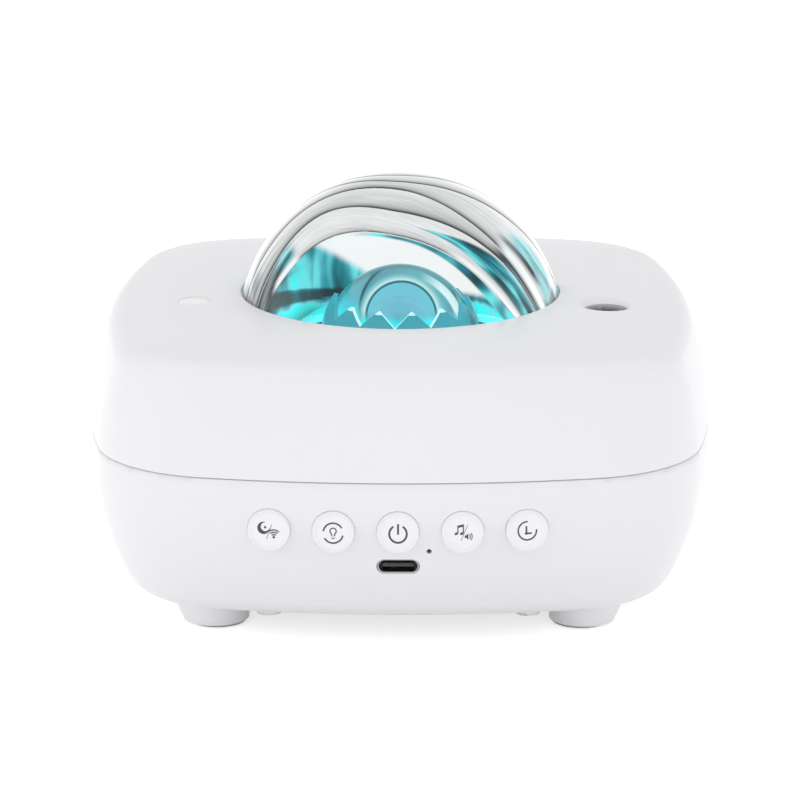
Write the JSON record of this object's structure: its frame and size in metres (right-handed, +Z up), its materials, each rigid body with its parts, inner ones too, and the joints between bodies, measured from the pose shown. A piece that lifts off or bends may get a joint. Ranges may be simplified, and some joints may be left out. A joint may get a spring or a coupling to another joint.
{
  "type": "star night light projector",
  "caption": "Bulging rounded-square night light on four feet, with a clear rippled dome, a star port, a moon port, a row of keys and a charging socket in front.",
  "frame": {"origin": "on the table, under the middle of the body", "axes": "+Z up, the front with its keys faces -Y, +X to the right as seen from the front"},
  "size_m": [0.14, 0.141, 0.0922],
  "materials": {
    "shell_white": "fine moulded satin",
    "key_white": "satin, printed symbols",
    "foot_white": "fine moulded satin",
    "pad_rubber": "matt",
    "dome_clear": "clear, rippled",
    "lens_cyan": "clear, tinted",
    "moon_milky": "clear with a soft haze",
    "window_dark": "clear, dark behind",
    "nylon_white": "self-lubricating, matt",
    "reflector_white": "gloss white",
    "black_plastic": "matt",
    "board_green": "solder mask",
    "board_white": "white solder mask on aluminium",
    "lamp_resin": "silicone over phosphor",
    "steel": "plated",
    "black_steel": "black coated",
    "aluminium": "extruded",
    "brass": "turned",
    "speaker_paper": "pressed paper"
  },
  "bodies": {
    "housing": {"lower_shell": "shell_white", "upper_shell": "shell_white", "dome": "dome_clear", "dome_ring": "nylon_white", "switches": "black_plastic", "key_board": "board_green", "microphone": "steel", "main_board": "board_green", "charge_socket": "steel", "charge_tongue": "black_plastic", "chips": "black_plastic", "capacitors": "aluminium", "radio_module": "steel", "chassis": "nylon_white", "heat_sink": "aluminium", "led_board": "board_white", "leds": "lamp_resin", "reflector": "reflector_white", "rotor_axle": "steel", "axle_clip": "steel", "motor": "steel", "laser_barrel": "brass", "laser_lens": "lens_cyan", "star_window": "window_dark", "moon_lens": "moon_milky", "moon_holder": "black_plastic", "moon_slide": "window_dark", "speaker_frame": "black_steel", "speaker_magnet": "black_steel", "speaker_cone": "speaker_paper", "housing_screws": "steel", "board_screws": "steel", "inner_screws": "steel", "foot_front_left": "foot_white", "pad_front_left": "pad_rubber", "foot_front_right": "foot_white", "pad_front_right": "pad_rubber", "foot_rear_left": "foot_white", "pad_rear_left": "pad_rubber", "foot_rear_right": "foot_white", "pad_rear_right": "pad_rubber"},
    "star_key": {"key_star": "key_white", "stem_star": "black_plastic"},
    "lamp_key": {"key_lamp": "key_white", "stem_lamp": "black_plastic"},
    "power_key": {"key_power": "key_white", "stem_power": "black_plastic"},
    "sound_key": {"key_sound": "key_white", "stem_sound": "black_plastic"},
    "timer_key": {"key_timer": "key_white", "stem_timer": "black_plastic"},
    "rotor": {"ring_gear": "nylon_white", "ripple_disc": "lens_cyan", "crown_lens": "lens_cyan", "bell_lens": "dome_clear"},
    "motor_drive": {"motor_shaft": "steel", "pinion": "nylon_white"},
    "star_grating": {"grating_gear": "nylon_white", "grating_disc": "window_dark"}
  },
  "joints": [
    {"name": "star_press", "type": "slide", "parent": "housing", "child": "star_key", "axis": [0, 1, 0], "range_m": [0, 0.0005], "stiffness_N_per_m": 600, "springref_m": -0.0008},
    {"name": "lamp_press", "type": "slide", "parent": "housing", "child": "lamp_key", "axis": [0, 1, 0], "range_m": [0, 0.0005], "stiffness_N_per_m": 600, "springref_m": -0.0008},
    {"name": "power_press", "type": "slide", "parent": "housing", "child": "power_key", "axis": [0, 1, 0], "range_m": [0, 0.0005], "stiffness_N_per_m": 600, "springref_m": -0.0008},
    {"name": "sound_press", "type": "slide", "parent": "housing", "child": "sound_key", "axis": [0, 1, 0], "range_m": [0, 0.0005], "stiffness_N_per_m": 600, "springref_m": -0.0008},
    {"name": "timer_press", "type": "slide", "parent": "housing", "child": "timer_key", "axis": [0, 1, 0], "range_m": [0, 0.0005], "stiffness_N_per_m": 600, "springref_m": -0.0008},
    {"name": "rotor_spin", "type": "hinge", "parent": "housing", "child": "rotor", "pos_m": [0, 0, 0.046], "axis": [0, 0, 1], "continuous": true},
    {"name": "motor_spin", "type": "hinge", "parent": "housing", "child": "motor_drive", "pos_m": [0, 0.042, 0.046], "axis": [0, 0, 1], "continuous": true},
    {"name": "grating_spin", "type": "hinge", "parent": "housing", "child": "star_grating", "pos_m": [0.04602, -0.01363, 0.046], "axis": [0, 0, 1], "continuous": true}
  ],
  "couplings": [
    {"joint": "motor_spin", "follows": "rotor_spin", "ratio": -6},
    {"joint": "grating_spin", "follows": "rotor_spin", "ratio": -3}
  ]
}
